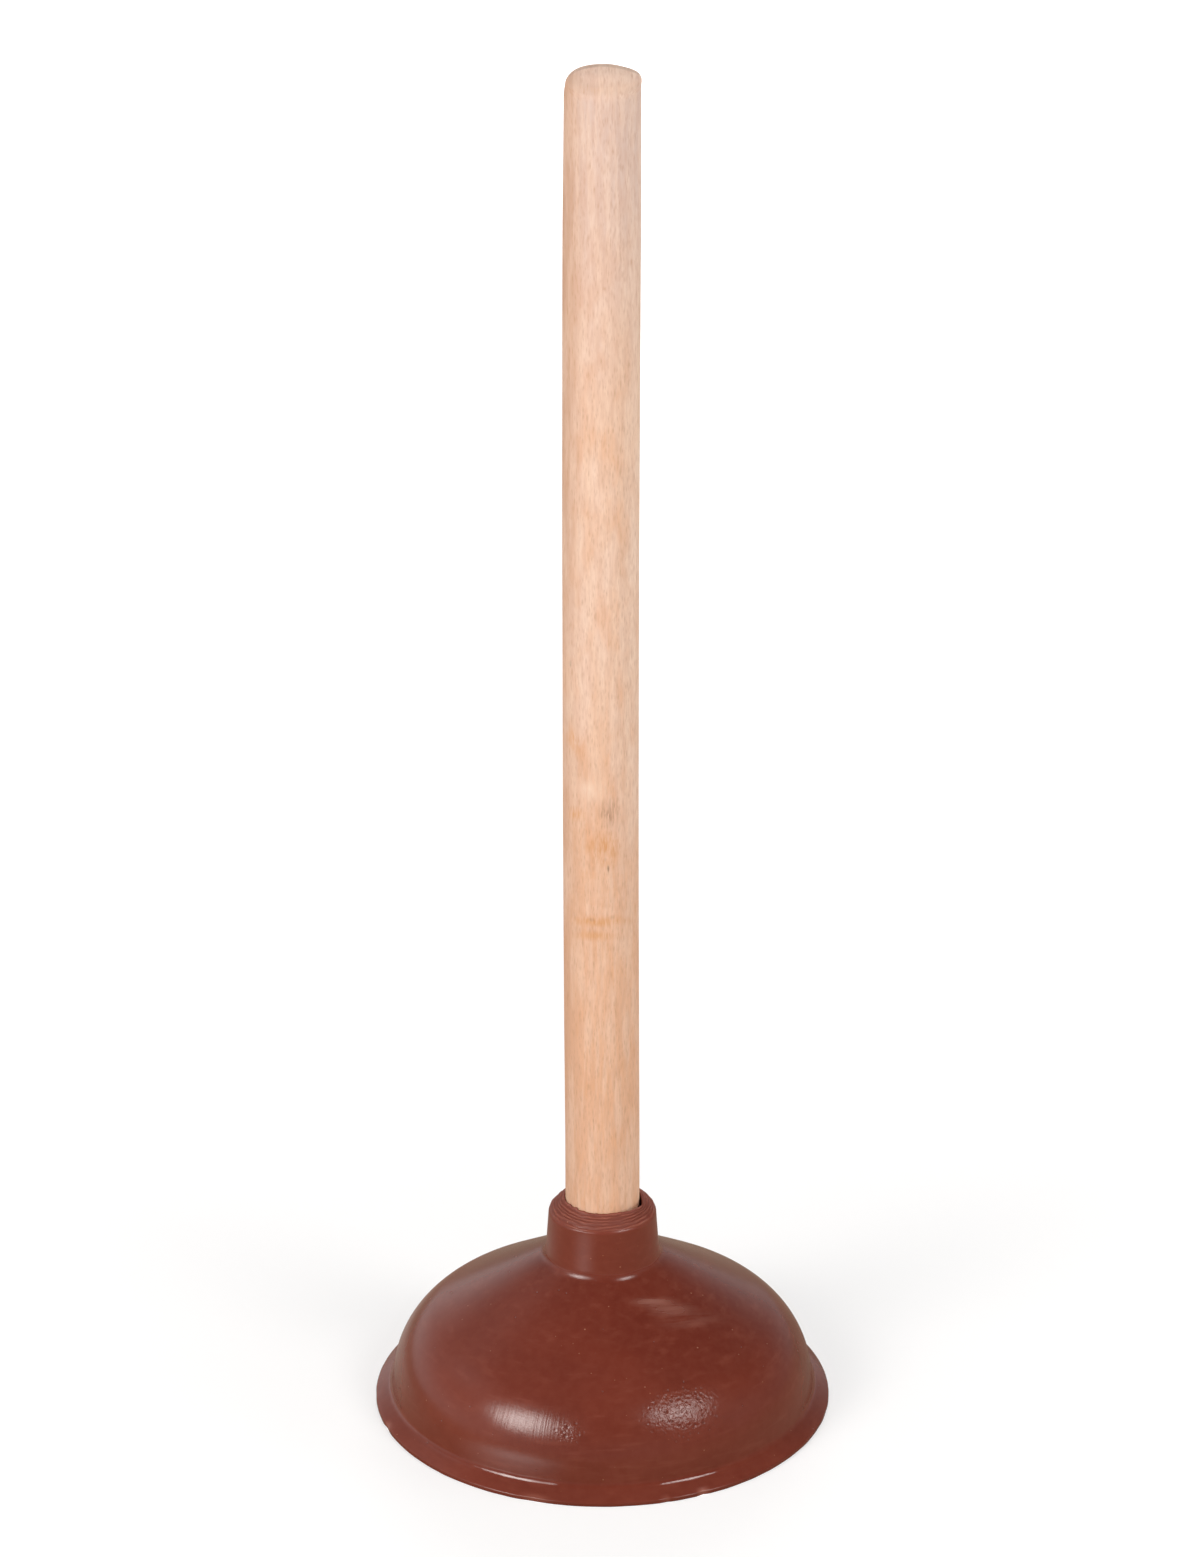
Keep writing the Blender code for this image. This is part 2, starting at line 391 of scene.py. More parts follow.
def collar_ridge(azimuth, along):
    """Height of the fine turned ridges, at a distance from the mouth along the collar's face."""
    wander = RIDGE_WANDER * noise.noise(around(azimuth, RIDGE_WANDER_ROUND, along / RIDGE_WANDER_LENGTH))
    wander += RIDGE_WAVER * noise.noise(around(azimuth, RIDGE_WAVER_ROUND, along / RIDGE_PITCH))
    crest = 0.5 - 0.5 * math.cos(math.tau * (along + wander) / RIDGE_PITCH)
    strength = RIDGE_MEAN + noise.noise(around(azimuth, RIDGE_STRENGTH_ROUND, along / RIDGE_PITCH))
    face_length = COLLAR_WALL / math.cos(COLLAR_FACE_SLOPE)
    run_in = smooth_step(0.0, RIDGE_RUN_IN, along)
    run_out = 1 - smooth_step(face_length - RIDGE_RUN_OUT, face_length, along)
    return RIDGE_HEIGHT * crest * max(RIDGE_LEAST, strength) * run_in * run_out


def mouth_move(azimuth, radius, height):
    """How far the socket's mouth closes on the wood, stands up ragged, or gapes, outwards and upwards."""
    edge = 1 - smooth_step(BORE_RADIUS, BORE_RADIUS + MOUTH_BAND, radius)
    top = smooth_step(MOUTH_Z - 2 * MOUTH_BAND, MOUTH_Z - MOUTH_EDGE, height)
    wide = 1 - smooth_step(BORE_RADIUS, BORE_RADIUS + MOUTH_RELIEF_BAND, radius)
    deep = smooth_step(MOUTH_Z - MOUTH_RELIEF_DEPTH, MOUTH_Z, height)
    gape = hump(azimuth, MOUTH_RELIEF_AZIMUTH, MOUTH_RELIEF_SPREAD)
    ragged = hump(azimuth, MOUTH_FLASH_AZIMUTH, MOUTH_FLASH_SPREAD) + MOUTH_FLASH_ELSEWHERE
    closing = (SOCKET_SLACK - MOUTH_TOUCH) * edge * top * (1 - gape)
    relief = MOUTH_RELIEF * wide * deep * gape
    teeth = noise.noise(around(azimuth, MOUTH_FLASH_ROUND, height=1.0))
    flash = MOUTH_FLASH * max(0.0, teeth + MOUTH_FLASH_LEVEL)
    return relief - closing, flash * ragged * edge * top * (1 - gape)


def lip_nick(azimuth):
    """Depth of the nicks in the lip's edge."""
    return sum(depth * hump(azimuth, centre, spread) for centre, spread, depth in LIP_NICKS)


def wear_cup(bm):
    """Moves the moulding's points off the true shape, and notes on each its first place, its wear, and the
    height of its ridge crest, which is painted as highlight.
    """
    first_place = bm.verts.layers.float_vector.new("first_place")
    matt_face = bm.verts.layers.float.new("matt_face")
    crest_highlight_and_worn_edge = bm.verts.layers.float.new("crest_highlight_and_worn_edge")
    polished_fold = bm.verts.layers.float.new("polished_fold")
    bm.normal_update()
    moves = []
    for vert in bm.verts:
        place = vert.co.copy()
        radius = math.hypot(place.x, place.y)
        azimuth = azimuth_of(place)
        outwards = Vector((place.x, place.y, 0.0)) / radius
        vert[first_place] = place
        vert[matt_face] = smooth_step(*MATT_RISE, place.z)
        move = Vector()
        if place.z > MOUTH_Z - MOUTH_RELIEF_DEPTH and radius < BORE_RADIUS + MOUTH_RELIEF_BAND:
            out, up = mouth_move(azimuth, radius, place.z)
            move += outwards * out
            move.z += up
        if place.z > COLLAR_EDGE_Z - RIDGE_MARGIN and radius > BORE_RADIUS + MOUTH_EDGE / 2:
            along = (MOUTH_Z - place.z) / math.sin(COLLAR_FACE_SLOPE)
            ridge = collar_ridge(azimuth, along)
            move += vert.normal * ridge
            # The crest's height also paints the collar's ridge crests lighter, as painted highlight
            vert[crest_highlight_and_worn_edge] = ridge / RIDGE_HEIGHT
        if radius > COLLAR_RADIUS:
            settle = smooth_step(*CUP_LUMP_RISE, place.z)
            move += vert.normal * CUP_LUMP * settle * noise.noise(place / CUP_LUMP_SIZE)
        edge = smooth_step(CUP_RADIUS - LIP_BAND, CUP_RADIUS, radius)
        if edge > 0:
            nick = lip_nick(azimuth)
            wander = LIP_WANDER * (noise.noise(around(azimuth, LIP_WANDER_ROUND)) - 1)
            move += outwards * (wander - nick) * edge
            vert[crest_highlight_and_worn_edge] = edge * min(1.0, nick / NICK_WORN)
        fold = math.hypot(radius - CUP_RADIUS + LIP_WIDTH, place.z - LIP_HEIGHT) / LIP_BAND
        if fold < 1 and vert.normal.z > 0:
            vert[polished_fold] = 1 - fold
            lump = FILLET_LUMP * noise.noise(around(azimuth, FILLET_LUMP_ROUND))
            move += vert.normal * lump * (1 - fold)
        moves.append((vert, move))
    for vert, move in moves:
        vert.co += move


def make_cup(material):
    bm = bmesh.new()
    cup_section(bm)
    turn_round(bm, CUP_STEPS)
    wear_cup(bm)
    return finished(bm, "rubber_cup", material)


# Handle


# A slight bow and an uneven section, both of which start above the collar
HANDLE_BOW = 0.6 * MM
HANDLE_UNEVEN = 0.07 * MM
HANDLE_UNEVEN_ROUND = 1.1
HANDLE_UNEVEN_LENGTH = 60 * MM
HANDLE_FREE_LENGTH = 60 * MM

# The top: its finely spaced stretch, its two unlike edges and how it narrows
TOP_DETAIL = 9.0 * MM
TOP_WORN_SIDE = 0.6 * MM
TOP_FULL_SIDE = 0.45 * MM
TOP_TAPER = 0.22 * MM
TOP_TAPER_LENGTH = 60 * MM


def handle_section(bm):
    """The dowel's half section: domed top, side, chamfered foot and the pilot hole in it."""
    dome_reach = HANDLE_RADIUS - HANDLE_TOP_EDGE * (1 - math.sin(HANDLE_TOP_SLOPE))
    dome_radius = dome_reach / math.sin(HANDLE_TOP_SLOPE)
    dome_corner = dome_radius * math.tan(HANDLE_TOP_SLOPE / 2)
    edge_drop = (HANDLE_RADIUS - dome_corner) * math.tan(HANDLE_TOP_SLOPE)
    tip_z = SCREW_HIGH.z + PILOT_SPARE
    drill_point = SCREW_HOLE_RADIUS / math.tan(DRILL_POINT)
    fine, coarse = 0.5 * MM, 4.0 * MM
    draw_section(
        bm,
        [
            ((0.0, HANDLE_TOP_Z), 0.0, fine),
            ((dome_corner, HANDLE_TOP_Z), dome_radius, 2 * fine),
            ((HANDLE_RADIUS, HANDLE_TOP_Z - edge_drop), HANDLE_TOP_EDGE, fine),
            ((HANDLE_RADIUS, HANDLE_TOP_Z - TOP_DETAIL), 0.0, 2 * fine),
            ((HANDLE_RADIUS, HANDLE_FOOT_Z + HANDLE_FOOT_CHAMFER), 0.0, coarse),
            ((HANDLE_RADIUS - HANDLE_FOOT_CHAMFER, HANDLE_FOOT_Z), 0.0, fine),
            ((SCREW_HOLE_RADIUS, HANDLE_FOOT_Z), 0.0, 4 * fine),
            ((SCREW_HOLE_RADIUS, tip_z), 0.0, coarse),
            ((0.0, tip_z + drill_point), 0.0, coarse),
        ],
    )


def wear_handle(bm):
    """A slight bow, an uneven section, and a top edge rubbed at its left and fuller at its right."""
    for vert in bm.verts:
        place = vert.co.copy()
        level = math.hypot(vert.normal.x, vert.normal.y)
        free = smooth_step(MOUTH_Z, MOUTH_Z + HANDLE_FREE_LENGTH, place.z)
        share = max(0.0, (place.z - MOUTH_Z) / (HANDLE_TOP_Z - MOUTH_Z))
        bow = HANDLE_BOW * free * math.sin(math.pi * share)
        lumps = around(azimuth_of(place), HANDLE_UNEVEN_ROUND, place.z / HANDLE_UNEVEN_LENGTH)
        uneven = HANDLE_UNEVEN * free * noise.noise(lumps)
        top = smooth_step(HANDLE_TOP_Z - TOP_DETAIL, HANDLE_TOP_Z - TOP_DETAIL / 3, place.z)
        rubbed = TOP_WORN_SIDE * top * smooth_step(HANDLE_RADIUS / 2, HANDLE_RADIUS, -place.x)
        edge = 2 * max(0.0, vert.normal.z) * level
        full = TOP_FULL_SIDE * top * edge * smooth_step(HANDLE_RADIUS / 2, HANDLE_RADIUS, place.x)
        narrowing = smooth_step(HANDLE_TOP_Z - TOP_TAPER_LENGTH, HANDLE_TOP_Z - TOP_DETAIL, place.z)
        taper = TOP_TAPER * narrowing * level
        vert.co += vert.normal * (uneven - rubbed + full - taper) - Vector((bow, 0.0, 0.0))


def make_handle(material):
    bm = bmesh.new()
    handle_section(bm)
    turn_round(bm, HANDLE_STEPS)
    wear_handle(bm)
    return finished(bm, "wooden_handle", material)


# Screw and washer


def screw_section(bm):
    """The screw's core and its pan head, with the thread left off."""
    head = SCREW_HIGH.x
    fine = 0.4 * MM
    draw_section(
        bm,
        [
            ((0.0, SCREW_HIGH.z), 0.0, fine),
            ((THREAD_ROOT, SCREW_HIGH.z - SCREW_POINT), 0.0, fine),
            ((THREAD_ROOT, SCREW_SEAT_Z), 0.0, fine),
            ((head, SCREW_SEAT_Z), 0.0, fine),
            ((head, SCREW_LOW.z), HEAD_EDGE, fine),
            ((0.0, SCREW_LOW.z), 0.0, fine),
        ],
    )


def thread_ridge(bm):
    """A ridge that winds up the screw's core and runs out at both ends."""
    crest = SCREW_DIAMETER / 2
    low = SCREW_SEAT_Z + THREAD_PITCH
    turns = (SCREW_HIGH.z - SCREW_POINT / 2 - low) / THREAD_PITCH
    root = THREAD_ROOT - THREAD_SINK
    foot, land = THREAD_FOOT / 2, THREAD_LAND / 2
    section = [(root, -foot), (crest, -land), (crest, land), (root, foot)]
    ring = [bm.verts.new((x, 0.0, low + z)) for x, z in section]
    start = bm.faces.new(ring)
    bmesh.ops.spin(
        bm,
        geom=[start],
        cent=(0.0, 0.0, 0.0),
        axis=(0.0, 0.0, 1.0),
        dvec=(0.0, 0.0, THREAD_PITCH / THREAD_STEPS),
        angle=math.tau * turns,
        steps=round(turns * THREAD_STEPS),
    )
    bmesh.ops.recalc_face_normals(bm, faces=bm.faces)
    for vert in bm.verts:
        radius = math.hypot(vert.co.x, vert.co.y)
        run_in = smooth_step(low - THREAD_PITCH, low + 2 * THREAD_PITCH, vert.co.z)
        run_out = 1 - smooth_step(SCREW_HIGH.z - SCREW_POINT, SCREW_HIGH.z - SCREW_POINT / 3, vert.co.z)
        core = min(THREAD_ROOT, (SCREW_HIGH.z - vert.co.z) * THREAD_ROOT / SCREW_POINT)
        wanted = core - THREAD_SINK + (radius - root) * run_in * run_out
        vert.co.x *= wanted / radius
        vert.co.y *= wanted / radius


def recess_bar(bm, quarter):
    """One of the two crossed bars that cut the driver's recess, narrower at its bottom."""
    made = bmesh.ops.create_cube(bm, size=1.0)
    verts = made["verts"]
    bmesh.ops.scale(bm, vec=(RECESS_SPAN, RECESS_WIDTH, 2 * RECESS_DEPTH), verts=verts)
    deep = [vert for vert in verts if vert.co.z > 0]
    bmesh.ops.scale(bm, vec=RECESS_TAPER, verts=deep)
    bmesh.ops.rotate(bm, cent=(0, 0, 0), matrix=Matrix.Rotation(quarter, 3, "Z"), verts=verts)
    bmesh.ops.translate(bm, vec=(0.0, 0.0, SCREW_LOW.z), verts=verts)


def tool_body(name, draw):
    bm = bmesh.new()
    draw(bm)
    return new_object(bm, name)


def apply_tools(obj, tools):
    """Joins or cuts with (operation, tool body) pairs, then drops the tool bodies."""
    for operation, tool in tools:
        step = obj.modifiers.new(tool.name, "BOOLEAN")
        step.operation = operation
        step.solver = "EXACT"
        step.object = tool
    evaluated = obj.evaluated_get(bpy.context.evaluated_depsgraph_get())
    mesh = bpy.data.meshes.new_from_object(evaluated)
    obj.modifiers.clear()
    obj.data = mesh
    shade(mesh)
    for _, tool in tools:
        bpy.data.objects.remove(tool, do_unlink=True)


def make_screw(material):
    bm = bmesh.new()
    screw_section(bm)
    turn_round(bm, FIXING_STEPS)
    screw = finished(bm, "wood_screw", material)
    apply_tools(
        screw,
        [
            ("UNION", tool_body("thread", thread_ridge)),
            ("DIFFERENCE", tool_body("recess_one", lambda bm: recess_bar(bm, 0.0))),
            ("DIFFERENCE", tool_body("recess_two", lambda bm: recess_bar(bm, math.pi / 2))),
        ],
    )
    return screw


def make_washer(material):
    rim, hole, fine = WASHER_HIGH.x, SCREW_HOLE_RADIUS, 0.5 * MM
    bm = bmesh.new()
    draw_section(
        bm,
        [
            ((hole, WASHER_HIGH.z), 0.0, fine),
            ((rim, WASHER_HIGH.z), WASHER_EDGE, fine),
            ((rim, WASHER_LOW.z), WASHER_EDGE, fine),
            ((hole, WASHER_LOW.z), WASHER_EDGE / 2, fine),
        ],
        closed=True,
    )
    turn_round(bm, FIXING_STEPS)
    return finished(bm, "steel_washer", material)


# Shader nodes


def add(tree, kind, inputs=None, **settings):
    """Adds a node. An input's value is either a plain value or another node's output to link from."""
    node = tree.nodes.new(kind)
    for name, value in settings.items():
        setattr(node, name, value)
    for name, value in (inputs or {}).items():
        if isinstance(value, bpy.types.NodeSocket):
            tree.links.new(value, node.inputs[name])
        else:
            node.inputs[name].default_value = value
    return node


def math_node(tree, operation, first, second):
    return add(tree, "ShaderNodeMath", {0: first, 1: second}, operation=operation).outputs[0]


def vector_node(tree, operation, *vectors):
    outputs = add(tree, "ShaderNodeVectorMath", dict(enumerate(vectors)), operation=operation).outputs
    return outputs["Value" if operation == "LENGTH" else "Vector"]


def times(tree, product, *factors):
    for factor in factors:
        product = math_node(tree, "MULTIPLY", product, factor)
    return product


def add_up(tree, *terms):
    """A sum of plain numbers and of (value, factor) pairs."""
    total = 0.0
    for term in terms:
        if isinstance(term, tuple):
            term = times(tree, *term)
        total = math_node(tree, "ADD", term, total)
    return total


def ramp(tree, value, low, high, start=0.0, end=1.0, kind="SMOOTHSTEP"):
    """Goes from start to end as a value goes from low to high. High may be the lesser of the two."""
    levels = {"Value": value, "From Min": low, "From Max": high, "To Min": start, "To Max": end}
    return add(tree, "ShaderNodeMapRange", levels, interpolation_type=kind).outputs[0]


def mix_number(tree, share, first, second):
    return add(tree, "ShaderNodeMix", {0: share, 2: first, 3: second}, data_type="FLOAT").outputs[0]


def mix_colour(tree, share, first, second):
    """Mixes two colours, each a linear RGB triple or another node's output."""
    sockets = {0: share}
    for number, colour in ((6, first), (7, second)):
        linked = isinstance(colour, bpy.types.NodeSocket)
        sockets[number] = colour if linked else (*colour, 1.0)
    return add(tree, "ShaderNodeMix", sockets, data_type="RGBA").outputs[2]


def lay_colours(tree, colour, layers):
    """Lays (mask, share, colour) layers over a colour, one after the other."""
    for mask, share, layer in layers:
        colour = mix_colour(tree, times(tree, mask, share), colour, layer)
    return colour


def axes_of(tree, vector):
    return add(tree, "ShaderNodeSeparateXYZ", {0: vector}).outputs


def noted(tree, name, output="Fac"):
    """A value that the mesh notes on its points."""
    return add(tree, "ShaderNodeAttribute", attribute_name=name).outputs[output]


def ray_masks(tree):
    """Masks of the camera's own rays, and of those that come by way of a glossy or a clear surface."""
    rays = add(tree, "ShaderNodeLightPath").outputs
    mirrored = math_node(tree, "MAXIMUM", rays["Is Glossy Ray"], rays["Is Transmission Ray"])
    return rays["Is Camera Ray"], mirrored


# Effects that the materials share


BLOTCH_ROUGHNESS = 0.55
PIT_LEAST = 0.02


def new_group(name, vectors, values):
    """A group with named vector and value inputs and one mask. Gives its tree, its inputs and its mask."""
    tree = bpy.data.node_groups.new(name, "ShaderNodeTree")
    for socket in vectors:
        tree.interface.new_socket(socket, in_out="INPUT", socket_type="NodeSocketVector")
    for socket in values:
        tree.interface.new_socket(socket, in_out="INPUT", socket_type="NodeSocketFloat")
    tree.interface.new_socket("Mask", in_out="OUTPUT", socket_type="NodeSocketFloat")
    given = tree.nodes.new("NodeGroupInput").outputs
    return tree, given, tree.nodes.new("NodeGroupOutput").inputs["Mask"]


def blotch_group():
    """Soft cloudy patches: noise at a frequency per metre on each axis, spread between two levels."""
    tree, given, mask = new_group("blotches", ["Vector", "Frequency"], ["Low", "High", "Detail"])
    place = vector_node(tree, "MULTIPLY", given["Vector"], given["Frequency"])
    settings = {"Vector": place, "Scale": 1.0, "Detail": given["Detail"], "Roughness": BLOTCH_ROUGHNESS}
    cloud = add(tree, "ShaderNodeTexNoise", settings).outputs[0]
    tree.links.new(ramp(tree, cloud, given["Low"], given["High"]), mask)
    return tree


def pit_group():
    """Scattered pits: some of a grid of random cells hold one, each of its own size."""
    tree, given, mask = new_group("pits", ["Vector", "Frequency"], ["Share", "Size"])
    place = vector_node(tree, "MULTIPLY", given["Vector"], given["Frequency"])
    cells = add(tree, "ShaderNodeTexVoronoi", {"Vector": place, "Scale": 1.0}, feature="F1").outputs
    lots = add(tree, "ShaderNodeSeparateColor", {0: cells["Color"]}).outputs
    chosen = math_node(tree, "LESS_THAN", lots[0], given["Share"])
    reach = math_node(tree, "ADD", times(tree, lots[1], given["Size"]), PIT_LEAST)
    depth = ramp(tree, cells["Distance"], 0.0, reach, start=1.0, end=0.0)
    tree.links.new(times(tree, depth, chosen), mask)
    return tree


def spot_group():
    """A soft spot: 1 at its centre, fading to 0 at its reach along each axis."""
    tree, given, mask = new_group("spot", ["Vector", "Centre", "Reach"], [])
    away = vector_node(tree, "SUBTRACT", given["Vector"], given["Centre"])
    far = vector_node(tree, "LENGTH", vector_node(tree, "DIVIDE", away, given["Reach"]))
    tree.links.new(ramp(tree, far, 1.0, 0.0), mask)
    return tree


BLOTCHES = blotch_group()
PITS = pit_group()
SPOT = spot_group()


def place_group(tree, group, vector, **values):
    """Puts a group into a material with its own values. Gives the group's mask."""
    return add(tree, "ShaderNodeGroup", {"Vector": vector, **values}, node_tree=group).outputs["Mask"]


def blotches(tree, vector, frequency, low, high, detail=3.0):
    return place_group(tree, BLOTCHES, vector, Frequency=frequency, Low=low, High=high, Detail=detail)


def pits(tree, vector, frequency, share, size):
    return place_group(tree, PITS, vector, Frequency=frequency, Share=share, Size=size)


def spot(tree, vector, centre, reach):
    return place_group(tree, SPOT, vector, Centre=centre, Reach=reach)


# Marks on the rubber and the wood lie in axes that are tipped forwards by this much
MARK_TIP = math.radians(24.0)


def tipped(tree, vector):
    """A vector in axes that are tipped forwards with the marks."""
    return add(tree, "ShaderNodeMapping", {"Vector": vector, "Rotation": (MARK_TIP, 0.0, 0.0)}).outputs[0]


def tipped_spot(tree, slant, centre, reach):
    return spot(tree, slant, Matrix.Rotation(MARK_TIP, 3, "X") @ centre, reach)


def new_material(name):
    material = bpy.data.materials.new(name)
    material.use_nodes = True
    tree = material.node_tree
    return material, tree, tree.nodes["Principled BSDF"]


def dress_surface(tree, shader, colour, rough, height):
    """Gives a shader its colour, its roughness and bumps of a height in metres."""
    tree.links.new(colour, shader.inputs["Base Color"])
    tree.links.new(rough, shader.inputs["Roughness"])
    bump = add(tree, "ShaderNodeBump", {"Strength": 1.0, "Distance": 1.0, "Height": height})
    tree.links.new(bump.outputs[0], shader.inputs["Normal"])


# Rubber


RUBBER_DARK = (0.121, 0.0168, 0.0070)
RUBBER_LIGHT = (0.142, 0.0216, 0.0095)
RUBBER_WORN_AND_PAINTED_LIGHT = (0.235, 0.060, 0.036)
RUBBER_RED = (0.270, 0.045, 0.020)
RUBBER_SCUFF = (0.36, 0.17, 0.13)
RUBBER_CREST = (0.40, 0.145, 0.10)
RUBBER_SPECK = (0.50, 0.22, 0.13)
RUBBER_RECESS_SHADE = (0.060, 0.009, 0.004)

# Stretches of the cup along an axis: where each starts and where it is full
LOW_OF_CUP = (46 * MM, 16 * MM)
LEFT_OF_CUP = (-12 * MM, -55 * MM)
COLLAR_STRETCH = (CROWN_HEIGHT - 1.5 * MM, CROWN_HEIGHT + 3 * MM)

# Pitted patches: centre and reach along each axis, and how strongly they fill up from their edges
PITTED_PATCHES = [
    (Vector((26.5, -56.5, 24.5)) * MM, Vector((19, 16, 13)) * MM),
    (Vector((-10.6, -63.6, 20.9)) * MM, Vector((6.5, 7, 5)) * MM),
]
PITTED_FILL = 1.6

# The streaked patch of the shoulder
STREAKED_PLACE = Vector((-22, -60, 22.5)) * MM
STREAKED_REACH = Vector((26, 20, 14)) * MM

# Scuffs of the crown: centre, reach in axes that are tipped forwards with the scuffs' streaks, and strength
SCUFFS = [
    (Vector((16.5, -23.3, 46.9)) * MM, Vector((10, 30, 2.2)) * MM, 0.46),
    (Vector((22.1, -24.0, 44.4)) * MM, Vector((12, 30, 2.8)) * MM, 0.34),
    (Vector((28.7, -25.4, 41.0)) * MM, Vector((16, 30, 4.2)) * MM, 0.18),
]


def round_the_axis(tree, place):
    """A vector that turns with the heading and climbs with the height, for streaks round the cup."""
    heading = vector_node(tree, "NORMALIZE", vector_node(tree, "MULTIPLY", place, (1.0, 1.0, 0.0)))
    rise = vector_node(tree, "MULTIPLY", place, (0.0, 0.0, 1.0))
    return vector_node(tree, "ADD", heading, rise)


def pitted_mask(tree, place):
    pitted = 0.0
    for centre, reach in PITTED_PATCHES:
        pitted = math_node(tree, "MAXIMUM", spot(tree, place, centre, reach), pitted)
    return math_node(tree, "MINIMUM", times(tree, pitted, PITTED_FILL), 1.0)


def scuff_mask(tree, place):
    slant = tipped(tree, place)
    spots = [(tipped_spot(tree, slant, centre, reach), share) for centre, reach, share in SCUFFS]
    return times(tree, add_up(tree, *spots), blotches(tree, slant, (70.0, 60.0, 900.0), 0.25, 0.60))


def rubber_material():
    """Moulded rubber. Its pattern follows the first places of the points."""
    material, tree, shader = new_material("red_brown_rubber")
    place = noted(tree, "first_place", "Vector")
    matt_face = noted(tree, "matt_face")
    crest_highlight_and_worn_edge = noted(tree, "crest_highlight_and_worn_edge")
    polished_fold = noted(tree, "polished_fold")
    round_place = round_the_axis(tree, place)
    x, _, z = axes_of(tree, place)

    low_down = ramp(tree, z, *LOW_OF_CUP)
    # Painted light: the cup's left side is painted redder and lighter
    left_tint_and_painted_shading = ramp(tree, x, *LEFT_OF_CUP)
    collar = ramp(tree, z, *COLLAR_STRETCH)
    # Painted shade in the grooves between the collar's ridges
    groove_painted_shade = times(tree, matt_face, math_node(tree, "SUBTRACT", 1.0, crest_highlight_and_worn_edge))
    streaked = spot(tree, place, STREAKED_PLACE, STREAKED_REACH)
    pitted = pitted_mask(tree, place)

    cloud = blotches(tree, place, (30.0, 30.0, 45.0), 0.36, 0.66)
    mottle = blotches(tree, place, (330.0, 330.0, 330.0), 0.30, 0.72)
    grain = blotches(tree, place, (1500.0, 1500.0, 1500.0), 0.2, 0.8)
    wipe = blotches(tree, round_place, (5.0, 5.0, 520.0), 0.50, 0.78)
    flow = times(tree, blotches(tree, round_place, (90.0, 90.0, 60.0), 0.30, 0.70, detail=2.0), streaked)
    tooth = times(tree, grain, streaked)
    scuff = scuff_mask(tree, place)
    dust = pits(tree, place, (520.0, 520.0, 520.0), 0.12, 0.20)
    crinkle = times(tree, blotches(tree, place, (800.0, 800.0, 800.0), 0.35, 0.65), pitted)
    bubbles = times(tree, pits(tree, place, (640.0, 640.0, 640.0), 0.85, 0.66), pitted)
    bubbles = math_node(tree, "MAXIMUM", bubbles, pits(tree, place, (420.0, 420.0, 420.0), 0.08, 0.24))

    colour = lay_colours(
        tree,
        mix_colour(tree, cloud, RUBBER_DARK, RUBBER_LIGHT),
        [
            # Painted light: the lower walls are painted lighter than the crown
            (low_down, 0.16, RUBBER_WORN_AND_PAINTED_LIGHT),
            (mottle, 0.14, RUBBER_WORN_AND_PAINTED_LIGHT),
            (wipe, 0.30, RUBBER_WORN_AND_PAINTED_LIGHT),
            (collar, 0.20, RUBBER_WORN_AND_PAINTED_LIGHT),
            (collar, 0.22, RUBBER_RED),
            # Painted light on the cup's left side
            (left_tint_and_painted_shading, 0.18, RUBBER_RED),
            (groove_painted_shade, 0.26, RUBBER_RECESS_SHADE),
            (scuff, 1.0, RUBBER_SCUFF),
            (dust, 0.60, RUBBER_SPECK),
            # Painted highlight on the collar's ridge crests, and pale rubber where the lip is worn through
            (crest_highlight_and_worn_edge, 0.50, RUBBER_CREST),
            # Painted shade: the pits are painted darker
            (bubbles, 0.50, RUBBER_RECESS_SHADE),
        ],
    )
    rough = add_up(
        tree,
        0.20,
        (cloud, 0.03),
        (flow, 0.05),
        (matt_face, 0.28),
        (scuff, 0.30),
        (bubbles, 0.20),
        (collar, 0.10),
        (polished_fold, -0.15),
    )
    height = add_up(
        tree,
        (bubbles, -0.17 * MM),
        (crinkle, 0.06 * MM),
        (flow, 0.028 * MM),
        (mottle, 0.009 * MM),
        (grain, 0.003 * MM),
        (tooth, 0.009 * MM),
    )
    dress_surface(tree, shader, colour, rough, height)
    shader.inputs["Specular IOR Level"].default_value = 0.45
    return material


# Wood


WOOD_PALE = (0.870, 0.625, 0.490)
WOOD_WARM = (0.850, 0.570, 0.405)
WOOD_CREAM = (0.960, 0.745, 0.590)
WOOD_LOW = (0.815, 0.460, 0.275)
WOOD_STREAK = (0.650, 0.385, 0.260)
WOOD_FLECK = (0.500, 0.255, 0.140)
WOOD_STAIN = (0.720, 0.350, 0.155)
WOOD_EDGE_DARK = (0.540, 0.370, 0.280)
WOOD_DIRT = (0.430, 0.235, 0.145)
WOOD_DARK = (0.220, 0.110, 0.060)
WOOD_TOP_TONE_AND_SHADE = (0.680, 0.520, 0.460)
WOOD_LEFT_TINT_AND_SHADE = (0.560, 0.330, 0.210)
WOOD_DOME_PAINTED_LIGHT = (0.885, 0.685, 0.585)

